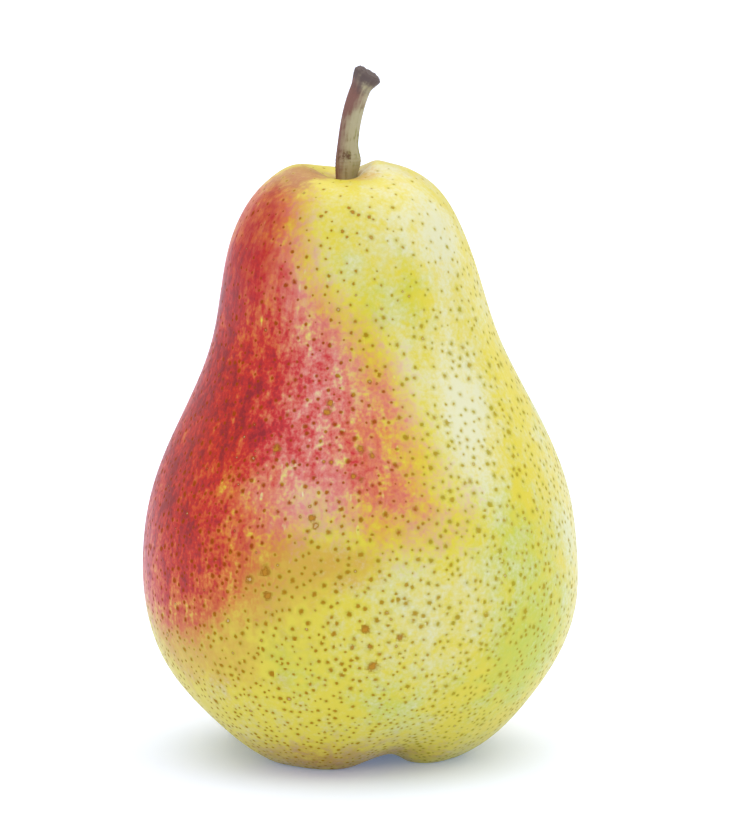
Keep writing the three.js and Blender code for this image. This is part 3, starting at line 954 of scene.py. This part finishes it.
class PEAR_OT_calyx(bpy.types.Operator):
    """Makes the dried calyx: its cup, five withered sepals and a tuft of stamens"""

    bl_idname = "pear.calyx"
    bl_label = "Calyx"

    def execute(self, context):
        rng = np.random.default_rng(SEED)
        parts = [self.cup(rng)]
        parts += [self.sepal(index, rng) for index in range(SEPALS)]
        parts += [self.stamen(index, rng) for index in range(STAMENS)]
        points = []
        faces = []
        for part_points, part_faces in parts:
            faces += [tuple(corner + len(points) for corner in face) for face in part_faces]
            points += part_points.tolist()
        points, _ = placed(np.array(points), "calyx")
        calyx = new_piece("pear_calyx", points, faces, husk_material(context.scene.pear_calyx))
        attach(calyx, BODY)
        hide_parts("calyx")
        return {"FINISHED"}

    @staticmethod
    def cup(rng):
        """The cup's wall and floor, puckered round its rim."""
        rows = (
            (0.01, CUP_FLOOR),
            (0.6 * CUP_BORE, CUP_FLOOR),
            (CUP_BORE, CUP_FLOOR - 0.25),
            (CUP_BORE, CUP_RIM + 0.4),
            (CUP_BORE + 0.25, CUP_RIM),
            (CUP_RADIUS - 0.3, CUP_RIM),
            (CUP_RADIUS, CUP_RIM + 0.6),
            (CUP_RADIUS, CUP_TOP),
            (0.01, CUP_TOP),
        )
        sides = 60
        rings = evenly(np.array(rows, float), 40)
        turn = np.arange(sides) / sides * TURN
        fold = 1 + 0.05 * np.sin(11 * turn + rng.uniform(0, TURN)) + 0.03 * np.sin(23 * turn)
        points = [(0, 0, CUP_FLOOR)]
        for radius, height in rings:
            shares = radius * (fold if height < CUP_TOP - 0.5 else 1)
            ring = [shares * np.cos(turn), shares * np.sin(turn), np.full(sides, height)]
            points += np.column_stack(ring).tolist()
        points.append((0, 0, CUP_TOP))
        faces = [tuple(reversed(face)) for face in tube_faces(len(rings), sides)]
        return np.array(points), faces

    @staticmethod
    def sepal(index, rng):
        """One sepal: broad at its root, drawn out to a curled point, with a rib and rolled edges."""
        rows, columns = 30, 14
        curl = 0.3 * math.sin(2.4 * index) + rng.uniform(-0.1, 0.2)
        bend = SEPAL_TO - SEPAL_FROM + curl
        along = np.linspace(0, 1, rows)[:, None]
        x = np.linspace(-0.5, 0.5, columns)[None, :]
        heading = SEPAL_FROM + bend * along
        out = SEPAL_LENGTH * (np.sin(heading) - math.sin(SEPAL_FROM)) / bend
        down = SEPAL_LENGTH * (np.cos(heading) - math.cos(SEPAL_FROM)) / bend
        ragged = 1 + 0.08 * np.sin(9 * along + rng.uniform(0, TURN)) + 0.05 * np.sin(21 * along)
        width = (SEPAL_WIDTH * (1 - along**1.6) * (0.86 + 0.4 * along) + 0.3) * ragged
        across = x * width + 0.25 * along * math.sin(1.7 * index)
        crinkle = 0.1 * np.sin(8 * along + 6 * x + index) * (0.3 + along)
        rib = 0.14 * np.exp(-((x / 0.09) ** 2)) * (1 - along)
        middle = -0.12 * across * across + crinkle
        thickness = 0.26 * (1 - 0.55 * along) * (1 - 1.2 * x * x)
        turn = index / SEPALS * TURN + math.radians(20)
        layers = []
        for normal in (middle + thickness / 2, middle - thickness / 2 - rib):
            reach = 0.84 * CUP_RADIUS + out - np.sin(heading) * normal
            height = CUP_RIM + 0.25 - down + np.cos(heading) * normal
            layers.append(np.stack([*swung(reach, across, turn), height], axis=-1).reshape(-1, 3))
        size = rows * columns
        faces = []
        for row in range(rows - 1):
            for column in range(columns - 1):
                corner = row * columns + column
                face = (corner, corner + columns, corner + columns + 1, corner + 1)
                faces.append(face[::-1])
                faces.append(tuple(size + point for point in face))
        border = list(range(columns))
        border += [row * columns + columns - 1 for row in range(1, rows)]
        border += [(rows - 1) * columns + column for column in range(columns - 2, -1, -1)]
        border += [row * columns for row in range(rows - 2, 0, -1)]
        for here, after in zip(border, border[1:] + border[:1]):
            faces.append((here, size + here, size + after, after))
        return np.vstack(layers), faces

    @staticmethod
    def stamen(index, rng):
        """One dry stamen: a thin bent thread with the shrunken head that held its pollen."""
        rings, sides = 16, 8
        turn = index * 2.4
        reach = 1.2 * math.sqrt(index / STAMENS)
        length = rng.uniform(2.2, 3.0)
        step = np.linspace(0, 1, rings)
        bow = rng.uniform(-0.5, 0.5)
        out = reach + 0.34 * reach * length * step * 0.6 + 0.3 * bow * step * step
        aside = bow * step * step
        middle = np.column_stack([*swung(out, aside, turn), CUP_FLOOR + 0.2 - length * step])
        radius = 0.13 * (1 - 0.35 * step) + 0.17 * bell(step, 0.94, 0.07)
        angle = np.arange(sides) / sides * TURN
        ring = np.column_stack([np.cos(angle), np.sin(angle), np.zeros(sides)])
        tube = (middle[:, None] + radius[:, None, None] * ring[None]).reshape(-1, 3)
        points = np.vstack([middle[:1], tube, middle[-1:] - (0, 0, 0.05)])
        return points, [tuple(reversed(face)) for face in tube_faces(rings, sides)]


def table_material(colours):
    """Opal acrylic sheet, matt, lit from below: its own light keeps the shadow pale and cool."""
    constants = {
        "Base Color": opaque(colours.table),
        "Roughness": 0.8,
        "Emission Color": opaque(colours.table_glow),
        "Emission Strength": colours.glow,
    }
    material, tree, shader = new_material("opal_acrylic_matt", constants)
    place = add_node(tree, "TexCoord").outputs["Object"]
    grain = add_node(tree, "TexNoise", {"Vector": place, "Scale": per_metre(1.5), "Detail": 2})
    bump = add_node(tree, "Bump", {"Height": grain, "Distance": 0.02 * MM, "Strength": 0.5})
    tree.links.new(bump.outputs["Normal"], shader.inputs["Normal"])
    return material


def softbox(name, power, size, place, target=(0, 0, 50)):
    """A rectangular area light in mm that faces its target."""
    light = bpy.data.lights.new(name, "AREA")
    light.shape = "RECTANGLE"
    light.size, light.size_y = (side * MM for side in size)
    light.energy = power
    lamp = put(name, light)
    lamp.location = Vector(place) * MM
    lamp.rotation_euler = (Vector(target) - Vector(place)).to_track_quat("-Z", "Y").to_euler()


class PEAR_OT_studio(bpy.types.Operator):
    """Sets the pale table, the softboxes and the camera at the photo's angle"""

    bl_idname = "pear.studio"
    bl_label = "Studio"

    def execute(self, context):
        settings = context.scene.pear_studio
        half = 4000
        corners = [(-half, -half, 0), (half, -half, 0), (half, half, 0), (-half, half, 0)]
        new_piece("table_top", corners, [(0, 1, 2, 3)], table_material(settings), smooth=False)
        softbox("window_right", settings.window, (280, 850), (950, -160, 560))
        softbox("overhead", settings.overhead, (4000, 5000), (0, 800, 2400), (0, 800, 0))
        softbox("shoulder_right", settings.shoulder, (400, 500), (760, 260, 900))
        softbox("fill_left", settings.fill, (900, 900), (-700, -1050, 650))
        softbox("back_right", settings.back, (200, 600), (620, 700, 330))
        softbox("back_left", settings.back, (300, 600), (-340, 940, 420))
        world = bpy.data.worlds.new("white_studio")
        world.use_nodes = True
        sky = world.node_tree.nodes["Background"].inputs
        sky["Color"].default_value = (1, 1, 1, 1)
        sky["Strength"].default_value = settings.sky
        context.scene.world = world
        context.scene.view_settings.view_transform = "Standard"
        self.camera(context)
        return {"FINISHED"}

    @staticmethod
    def camera(context):
        camera = bpy.data.cameras.new("camera")
        camera.lens = PIXELS_PER_MM * CAMERA_DISTANCE * SENSOR / PHOTO_HEIGHT
        camera.sensor_width = SENSOR
        camera.clip_end = 20
        seat = put("camera", camera)
        rise = math.radians(CAMERA_ELEVATION)
        back = Vector((0, -math.cos(rise), math.sin(rise)))
        seat.location = (Vector(AIM) + back * CAMERA_DISTANCE) * MM
        seat.rotation_euler = (math.pi / 2 - rise, 0, 0)
        context.scene.camera = seat


class PEAR_PT_panel(bpy.types.Panel):
    """Lists the pear's pieces"""

    bl_label = "Pear"
    bl_idname = "PEAR_PT_panel"
    bl_space_type = "VIEW_3D"
    bl_region_type = "UI"
    bl_category = "Pear"

    def draw(self, context):
        for operator, name, _ in PIECES:
            self.layout.operator(operator.bl_idname)
            settings = getattr(context.scene, name)
            for key in settings.bl_rna.properties.keys():
                if key not in ("rna_type", "name"):
                    self.layout.prop(settings, key)


PIECES = (
    (PEAR_OT_fruit, "pear_fruit", PearFruitSettings),
    (PEAR_OT_stem, "pear_stem", PearStemSettings),
    (PEAR_OT_calyx, "pear_calyx", PearCalyxSettings),
    (PEAR_OT_studio, "pear_studio", PearStudioSettings),
)


def register():
    for operator, name, group in PIECES:
        bpy.utils.register_class(group)
        setattr(bpy.types.Scene, name, bpy.props.PointerProperty(type=group))
        bpy.utils.register_class(operator)
    bpy.utils.register_class(PEAR_PT_panel)


def unregister():
    bpy.utils.unregister_class(PEAR_PT_panel)
    for operator, name, group in reversed(PIECES):
        bpy.utils.unregister_class(operator)
        delattr(bpy.types.Scene, name)
        bpy.utils.unregister_class(group)


def main():
    register()
    bpy.ops.pear.fruit()
    bpy.ops.pear.stem()
    bpy.ops.pear.calyx()
    bpy.ops.pear.studio()


if __name__ == "__main__":
    main()
